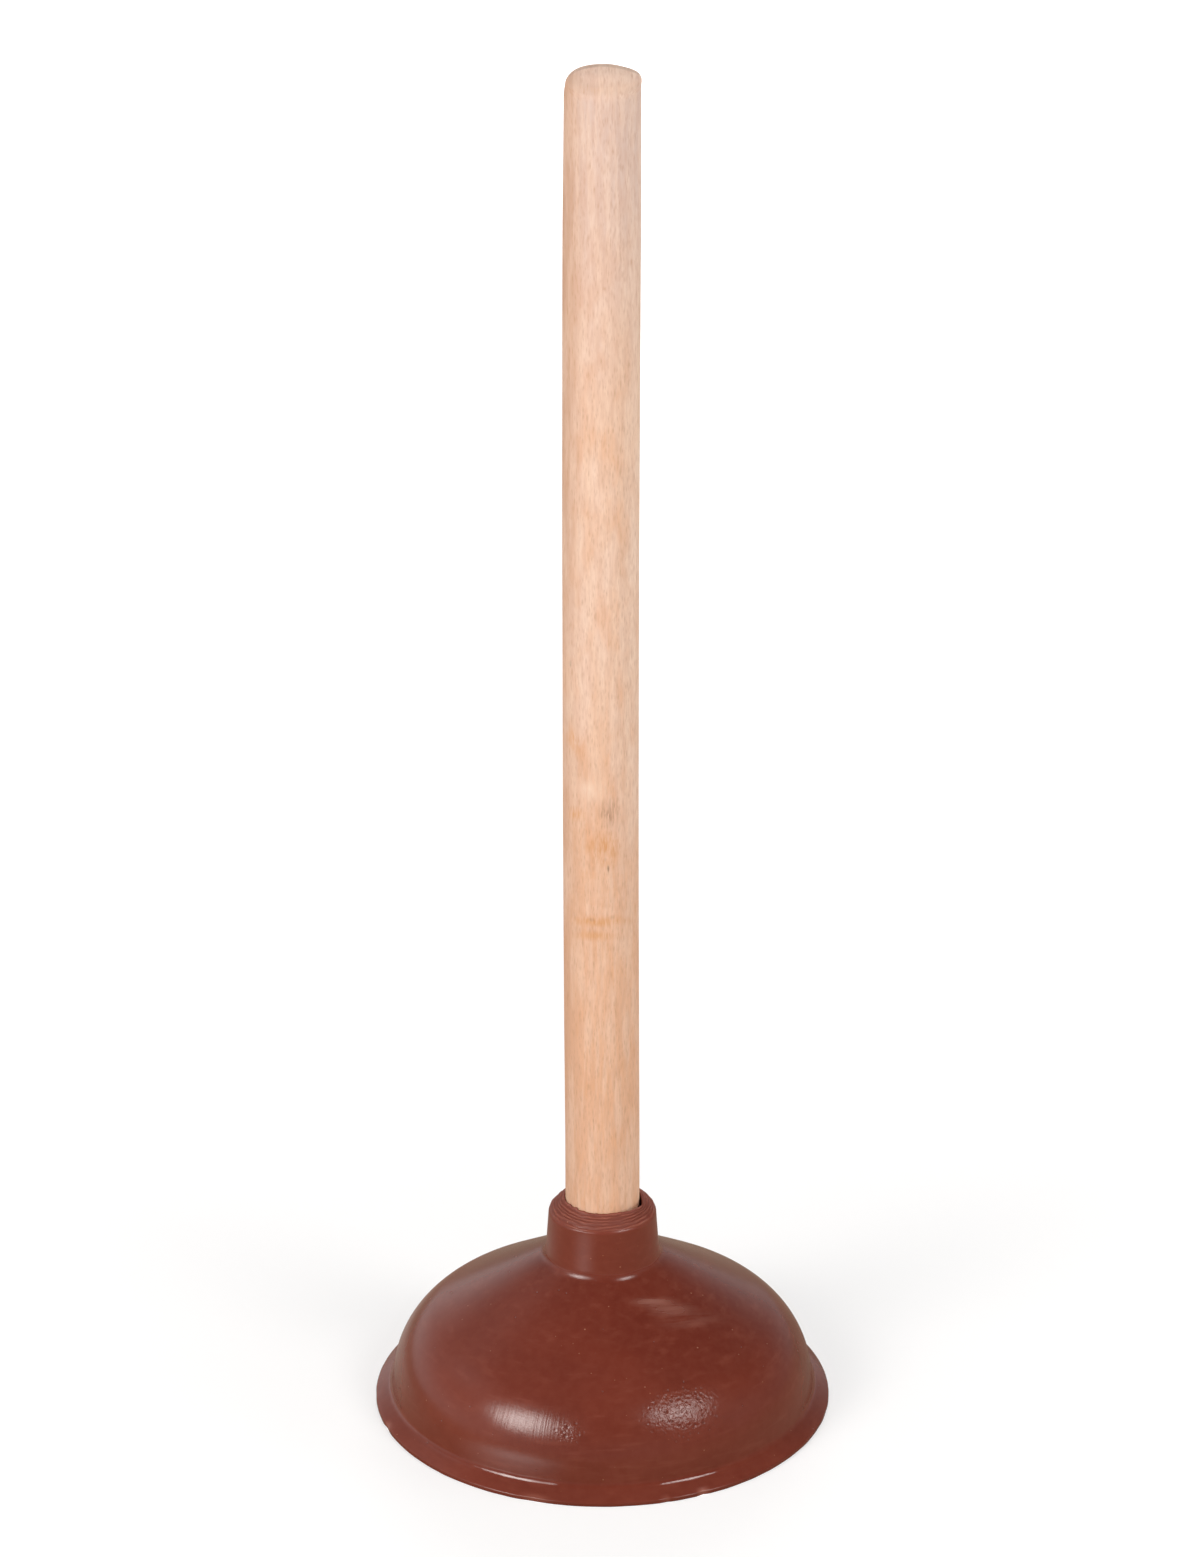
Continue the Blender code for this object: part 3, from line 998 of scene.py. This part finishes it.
# Marks on the handle's front: place across and up, reach across and up, all in mm, then strength and colour
WOOD_MARKS = [
    ((-8.5, 240.0), (5.5, 8.0), 0.55, WOOD_STAIN),
    ((-3.5, 224.5), (7.0, 5.5), 0.55, WOOD_CREAM),
    ((2.2, 216.6), (4.6, 9.0), 0.75, WOOD_DIRT),
    ((0.6, 205.2), (8.0, 7.0), 0.95, WOOD_STAIN),
    ((1.4, 199.5), (5.0, 4.0), 0.60, WOOD_STAIN),
    ((-8.2, 215.0), (6.0, 3.4), 0.80, WOOD_STAIN),
    ((-0.6, 178.9), (15.0, 2.6), 0.90, WOOD_STAIN),
    ((-2.0, 173.6), (13.0, 2.4), 0.55, WOOD_STAIN),
    ((3.0, 180.0), (1.1, 1.1), 0.80, WOOD_DIRT),
    ((-3.4, 179.2), (1.2, 1.0), 0.60, WOOD_DIRT),
    ((1.8, 197.4), (0.6, 1.7), 0.90, WOOD_DARK),
    ((0.9, 200.6), (0.5, 1.0), 0.60, WOOD_DARK),
    ((0.5, 393.8), (0.9, 1.0), 0.80, WOOD_STREAK),
    ((8.9, 401.2), (1.0, 2.6), 0.80, WOOD_STREAK),
    ((-10.0, 266.3), (0.6, 1.6), 0.70, WOOD_DARK),
]
MARK_LEAST_DEPTH = 3.0

# Stretches of the handle along an axis: where each starts and where it is full
LOW_STRETCH = (285 * MM, 130 * MM)
UPPER_STRETCH = (260 * MM, 360 * MM)
TOP_STRETCH = (330 * MM, 450 * MM)
TOP_END = (HANDLE_TOP_Z - 8.0 * MM, HANDLE_TOP_Z - 2.6 * MM)
TOP_FRONT = (9 * MM, 2 * MM)
TOP_BACK = (0.0, 2 * MM)
LEFT_OF_HANDLE = (-5 * MM, -11.8 * MM)
RIGHT_OF_HANDLE = (4 * MM, 11.5 * MM)

# The left side's warmer tint and painted shade show less below the upper stretch
LEFT_BELOW = 0.55

# The stretch of the handle where the grain is rippled
RIPPLED_PLACE = Vector((0, 0, 190)) * MM
RIPPLED_REACH = Vector((60, 60, 50)) * MM

# The handle's top: how far its grain runs on over the dome, which is painted lighter there as painted
# light, and the front of its edge, painted darker as painted shade
TOP_GRAIN_PULL = 0.85
TOP_SHADE_PLACE = Vector((0.0, -12 * MM, HANDLE_TOP_Z - 3.5 * MM))
TOP_SHADE_REACH = Vector((1.0, 14 * MM, 2.6 * MM))


def mark_wood(tree, place, colour, uneven):
    """Lays the marks over the wood's colour, broken up by its uneven grain."""
    slant = tipped(tree, place)
    for (across, up), (wide, tall), strength, mark in WOOD_MARKS:
        depth = math.sqrt((HANDLE_RADIUS / MM) ** 2 - across * across)
        centre = Vector((across, -depth, up)) * MM
        reach = Vector((wide, max(MARK_LEAST_DEPTH, wide), tall)) * MM
        mask = times(tree, tipped_spot(tree, slant, centre, reach), uneven)
        colour = lay_colours(tree, colour, [(mask, strength, mark)])
    return colour


def wood_material():
    """Bare wood whose year rings stand front to back, so that they run as streaks up the front."""
    material, tree, shader = new_material("bare_pale_wood")
    place = add(tree, "ShaderNodeTexCoord").outputs["Object"]
    x, y, z = axes_of(tree, place)

    end_grain = ramp(tree, z, *TOP_END)
    pull = times(tree, end_grain, ramp(tree, y, *TOP_FRONT), TOP_GRAIN_PULL)
    from_front = math_node(tree, "ADD", y, HANDLE_RADIUS)
    pulled = math_node(tree, "SUBTRACT", y, times(tree, from_front, pull))
    grain_place = add(tree, "ShaderNodeCombineXYZ", {0: x, 1: pulled, 2: z}).outputs[0]

    low_down = ramp(tree, z, *LOW_STRETCH)
    upper = ramp(tree, z, *UPPER_STRETCH)
    left_shows = add_up(tree, LEFT_BELOW, (upper, 1 - LEFT_BELOW))
    # The left side is tinted warmer and also painted darker as painted shade
    left_tint_and_painted_shading = times(tree, ramp(tree, x, *LEFT_OF_HANDLE), left_shows)
    # Painted light: the right side, above the low stretch, is painted lighter with cream
    right_painted_light = times(tree, ramp(tree, x, *RIGHT_OF_HANDLE), math_node(tree, "SUBTRACT", 1.0, low_down))
    # The upper stretch is painted greyer and darker: partly a drift in tone, partly painted shade
    top_stretch = times(tree, ramp(tree, z, *TOP_STRETCH), math_node(tree, "SUBTRACT", 1.0, pull))
    # A darker band along the top's far edge
    back_edge = times(tree, ramp(tree, y, *TOP_BACK), end_grain)
    # Painted shade: the front of the top's edge is painted darker
    front_rim_painted_shade = spot(tree, place, TOP_SHADE_PLACE, TOP_SHADE_REACH)
    rippled = spot(tree, place, RIPPLED_PLACE, RIPPLED_REACH)

    cloud = blotches(tree, place, (110.0, 110.0, 45.0), 0.42, 0.66)
    patch = blotches(tree, place, (210.0, 210.0, 90.0), 0.48, 0.68)
    ripple = times(tree, blotches(tree, place, (60.0, 60.0, 300.0), 0.46, 0.66), rippled)
    band = blotches(tree, grain_place, (150.0, 40.0, 12.0), 0.36, 0.66)
    rings = blotches(tree, grain_place, (420.0, 80.0, 40.0), 0.40, 0.64)
    streak = blotches(tree, grain_place, (900.0, 500.0, 110.0), 0.42, 0.66)
    fibre = blotches(tree, grain_place, (1900.0, 1600.0, 260.0), 0.36, 0.66)
    flecks = pits(tree, grain_place, (1150.0, 1150.0, 270.0), 0.75, 0.66)
    dashes = pits(tree, grain_place, (1700.0, 1700.0, 380.0), 0.80, 0.74)

    colour = lay_colours(
        tree,
        mix_colour(tree, band, WOOD_WARM, WOOD_PALE),
        [
            (cloud, 0.40, WOOD_LOW),
            (low_down, 0.85, WOOD_LOW),
            (patch, 0.26, WOOD_STAIN),
            (ripple, 0.22, WOOD_STAIN),
            (right_painted_light, 0.40, WOOD_CREAM),
            # Painted light: where the grain runs on over the dome, the dome is painted lighter to match the
            # side
            (pull, 0.70, WOOD_DOME_PAINTED_LIGHT),
            (top_stretch, 0.75, WOOD_TOP_TONE_AND_SHADE),
            (left_tint_and_painted_shading, 0.80, WOOD_LEFT_TINT_AND_SHADE),
            (front_rim_painted_shade, 0.75, WOOD_EDGE_DARK),
            (back_edge, 0.90, WOOD_EDGE_DARK),
            (rings, 0.34, WOOD_CREAM),
            (streak, 0.24, WOOD_STREAK),
            (fibre, 0.26, WOOD_STREAK),
            (flecks, 0.34, WOOD_FLECK),
            (dashes, 0.30, WOOD_FLECK),
        ],
    )
    uneven = add_up(tree, 0.20, (fibre, 0.6), (flecks, 0.6), (dashes, 0.4), (patch, 0.6))
    colour = mark_wood(tree, place, colour, uneven)
    rough = add_up(tree, 0.56, (streak, 0.10), (flecks, 0.08))
    height = add_up(tree, (flecks, -0.030 * MM), (dashes, -0.018 * MM), (fibre, 0.010 * MM))
    dress_surface(tree, shader, colour, rough, height)
    shader.inputs["Specular IOR Level"].default_value = 0.3
    return material


# Steel


STEEL_BLUISH = (0.50, 0.51, 0.51)
STEEL_WARM = (0.62, 0.61, 0.57)
STEEL_SPECK = (0.22, 0.19, 0.16)


def steel_material():
    """Zinc plating, cloudy and fine-grained, with a few dull specks."""
    material, tree, shader = new_material("zinc_plated_steel")
    place = add(tree, "ShaderNodeTexCoord").outputs["Object"]
    cloud = blotches(tree, place, (300.0, 300.0, 300.0), 0.35, 0.65)
    grain = blotches(tree, place, (3000.0, 3000.0, 3000.0), 0.30, 0.75)
    specks = pits(tree, place, (1400.0, 1400.0, 1400.0), 0.12, 0.35)
    colour = mix_colour(tree, cloud, STEEL_BLUISH, STEEL_WARM)
    colour = lay_colours(tree, colour, [(specks, 0.6, STEEL_SPECK)])
    rough = add_up(tree, 0.26, (grain, 0.16))
    dress_surface(tree, shader, colour, rough, times(tree, grain, 0.004 * MM))
    shader.inputs["Metallic"].default_value = 1.0
    return material


# Stage


# The world as plain surfaces see it, then as glossy ones do: by height, and by factors for each side
AMBIENT = 0.22
HORIZON_GLOW = 0.60
ZENITH_GLOW = 0.25
GLOW_RISE = (0.05, 0.60)
GLOW_LEFT = 1.60
GLOW_RIGHT = 0.40
GLOW_FRONT = 0.55
GLOW_BACK = 1.20

# The floor: its tone, and how far it is lifted for the camera near the object and far away
FLOOR_RADIUS = 8.0
FLOOR_SIDES = 96
FLOOR_Z = -0.2 * MM
FLOOR_TONE = (0.45, 0.45, 0.45)
FLOOR_TONE_MIRRORED = (0.38, 0.32, 0.25)
FLOOR_LIFT = 0.54
FLOOR_LIFT_FAR = 0.90
FLOOR_NEAR = Vector((0.9, 0.9, 1.0))

# The floor shines inside the rim, so that the cup's inside can be seen from below
UNDER_GLOW = 0.9
UNDER_EDGE = 1.5 * MM

# Bright places of the floor as the glossy rubber shows them: place, reach and brightness
FLOOR_GLOWS = [
    (Vector((-0.073, -0.104, 0.0)), Vector((0.056, 0.056, 1.0)), 2.3),
    (Vector((-0.105, 0.060, 0.0)), Vector((0.08, 0.09, 1.0)), 0.3),
    (Vector((-0.115, -0.155, 0.0)), Vector((0.09, 0.09, 1.0)), 1.6),
]

# The level at the edge of a round lamp, as a share of that of its bright core
LAMP_EDGE = 0.26
LIGHT_AIM = Vector((0.0, 0.0, 0.10))


def fade_lamp(data, core):
    """Makes a lamp's face fade from its bright core: the core's centre and reach, as shares of the face."""
    centre, reach = core
    data.use_nodes = True
    tree = data.node_tree
    face = add(tree, "ShaderNodeNewGeometry").outputs["Parametric"]
    bright = spot(tree, face, (*centre, 0.0), (*reach, 1.0))
    level = add_up(tree, LAMP_EDGE, (bright, 1 - LAMP_EDGE))
    tree.links.new(level, tree.nodes["Emission"].inputs["Color"])


def softbox(name, azimuth, elevation, distance, size, radiance, *, tint=(1.0, 1.0, 1.0), core=None,
            mirrored=True, diffuse=True):
    """A lamp that faces the cup, given in degrees, by its width and height and the brightness of its face.

    A lamp with a core is round. Glossy surfaces show a mirrored lamp. A diffuse one lights plain surfaces.
    """
    data = bpy.data.lights.new(name, "AREA")
    data.shape = "ELLIPSE" if core else "RECTANGLE"
    data.size, data.size_y = size
    area = data.size * data.size_y * (math.pi / 4 if core else 1.0)
    data.energy = radiance * math.pi * area
    data.color = tint
    if core:
        fade_lamp(data, core)
    lamp = bpy.data.objects.new(name, data)
    turn, rise = math.radians(azimuth), math.radians(elevation)
    towards = Vector((math.sin(turn) * math.cos(rise), -math.cos(turn) * math.cos(rise), math.sin(rise)))
    lamp.location = LIGHT_AIM + towards * distance
    lamp.rotation_euler = towards.to_track_quat("Z", "Y").to_euler()
    lamp.visible_camera = False
    lamp.visible_glossy = mirrored
    lamp.visible_diffuse = diffuse
    bpy.context.scene.collection.objects.link(lamp)


def place_lamps():
    softbox("left_softbox", -47, 32, 1.9, (1.35, 0.84), 17.5, tint=(1.0, 0.95, 0.92),
            core=((0.436, 0.45), (0.44, 0.72)))
    softbox("right_softbox", 53, 44, 1.9, (0.84, 0.78), 13.2, tint=(1.0, 0.96, 0.94),
            core=((0.5, 0.4), (0.60, 0.70)))
    softbox("left_halo", -104, 38, 2.0, (1.7, 1.1), 0.5, core=((0.5, 0.5), (0.5, 0.5)), diffuse=False)
    softbox("left_fill", -75, 6, 2.6, (1.6, 1.0), 1.2, mirrored=False)
    softbox("front_fill", 25, 10, 2.6, (1.4, 1.0), 1.2, mirrored=False)
    softbox("right_fill", 80, 15, 2.4, (1.2, 1.0), 3.9, mirrored=False)
    softbox("back_fill", 176, 15, 2.6, (1.6, 1.2), 6.0, mirrored=False)


def light_world():
    """White for the camera, a plain dim light for plain surfaces, and a shaded studio for glossy ones."""
    world = bpy.data.worlds.new("studio")
    bpy.context.scene.world = world
    world.use_nodes = True
    tree = world.node_tree
    from_camera, mirrored = ray_masks(tree)
    x, y, z = axes_of(tree, add(tree, "ShaderNodeTexCoord").outputs["Generated"])
    glow = ramp(tree, z, *GLOW_RISE, start=HORIZON_GLOW, end=ZENITH_GLOW)
    side = ramp(tree, x, -1.0, 1.0, start=GLOW_LEFT, end=GLOW_RIGHT, kind="LINEAR")
    depth = ramp(tree, y, -1.0, 1.0, start=GLOW_FRONT, end=GLOW_BACK, kind="LINEAR")
    level = mix_number(tree, mirrored, AMBIENT, times(tree, glow, side, depth))
    level = mix_number(tree, from_camera, level, 1.0)
    background = tree.nodes["Background"]
    background.inputs["Color"].default_value = (1.0, 1.0, 1.0, 1.0)
    tree.links.new(level, background.inputs["Strength"])


def floor_material():
    """Pale, lifted to white for the camera, less near the object's shadow, and clear from below.

    Glossy surfaces see it darker and warmer, with its bright places. Inside the rim it shines.
    """
    material, tree, shader = new_material("pale_floor")
    shader.inputs["Roughness"].default_value = 0.9
    shader.inputs["Specular IOR Level"].default_value = 0.0
    shader.inputs["Emission Strength"].default_value = 1.0
    from_camera, mirrored = ray_masks(tree)
    tone = mix_colour(tree, mirrored, FLOOR_TONE, FLOOR_TONE_MIRRORED)
    tree.links.new(tone, shader.inputs["Base Color"])

    place = add(tree, "ShaderNodeTexCoord").outputs["Object"]
    glows = [(spot(tree, place, centre, reach), level) for centre, reach, level in FLOOR_GLOWS]
    near = spot(tree, place, Vector(), FLOOR_NEAR)
    shown = add_up(tree, FLOOR_LIFT_FAR, (near, FLOOR_LIFT - FLOOR_LIFT_FAR))
    from_centre = vector_node(tree, "LENGTH", place)
    under = ramp(tree, from_centre, CUP_RADIUS, CUP_RADIUS - UNDER_EDGE)
    lift = add_up(tree, (from_camera, shown), (mirrored, add_up(tree, *glows)), (under, UNDER_GLOW))
    tree.links.new(lift, shader.inputs["Emission Color"])

    clear = add(tree, "ShaderNodeBsdfTransparent").outputs[0]
    below = add(tree, "ShaderNodeNewGeometry").outputs["Backfacing"]
    both = add(tree, "ShaderNodeMixShader", {0: below, 1: shader.outputs[0], 2: clear})
    tree.links.new(both.outputs[0], tree.nodes["Material Output"].inputs["Surface"])
    return material


def make_floor():
    bm = bmesh.new()
    bmesh.ops.create_circle(bm, cap_ends=True, segments=FLOOR_SIDES, radius=FLOOR_RADIUS)
    bmesh.ops.translate(bm, vec=(0.0, 0.0, FLOOR_Z), verts=bm.verts)
    floor = finished(bm, "floor", floor_material())


def place_camera():
    data = bpy.data.cameras.new("camera")
    data.sensor_fit = "VERTICAL"
    data.sensor_height = SENSOR_HEIGHT_MM
    data.lens = FOCAL_PIXELS * SENSOR_HEIGHT_MM / PHOTO_HEIGHT_PIXELS
    data.clip_end = CAMERA_REACH
    camera = bpy.data.objects.new("camera", data)
    back = Vector((0.0, -math.cos(CAMERA_PITCH), math.sin(CAMERA_PITCH)))
    camera.location = CAMERA_AIM + back * CAMERA_DISTANCE
    camera.rotation_euler = (math.pi / 2 - CAMERA_PITCH, 0.0, 0.0)
    bpy.context.scene.collection.objects.link(camera)
    bpy.context.scene.camera = camera


def dress():
    """Makes the four pieces, each in place of its solid."""
    steel = steel_material()

    cup = make_cup(rubber_material())
    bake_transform(cup)
    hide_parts("cup")

    handle = make_handle(wood_material())
    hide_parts("handle")
    screw = make_screw(steel)
    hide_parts("screw")
    washer = make_washer(steel)
    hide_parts("washer")
    for piece in (handle, screw, washer):
        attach(piece, "handle")


bpy.context.scene.view_settings.view_transform = "Standard"
place_camera()
place_lamps()
light_world()
make_floor()
dress()
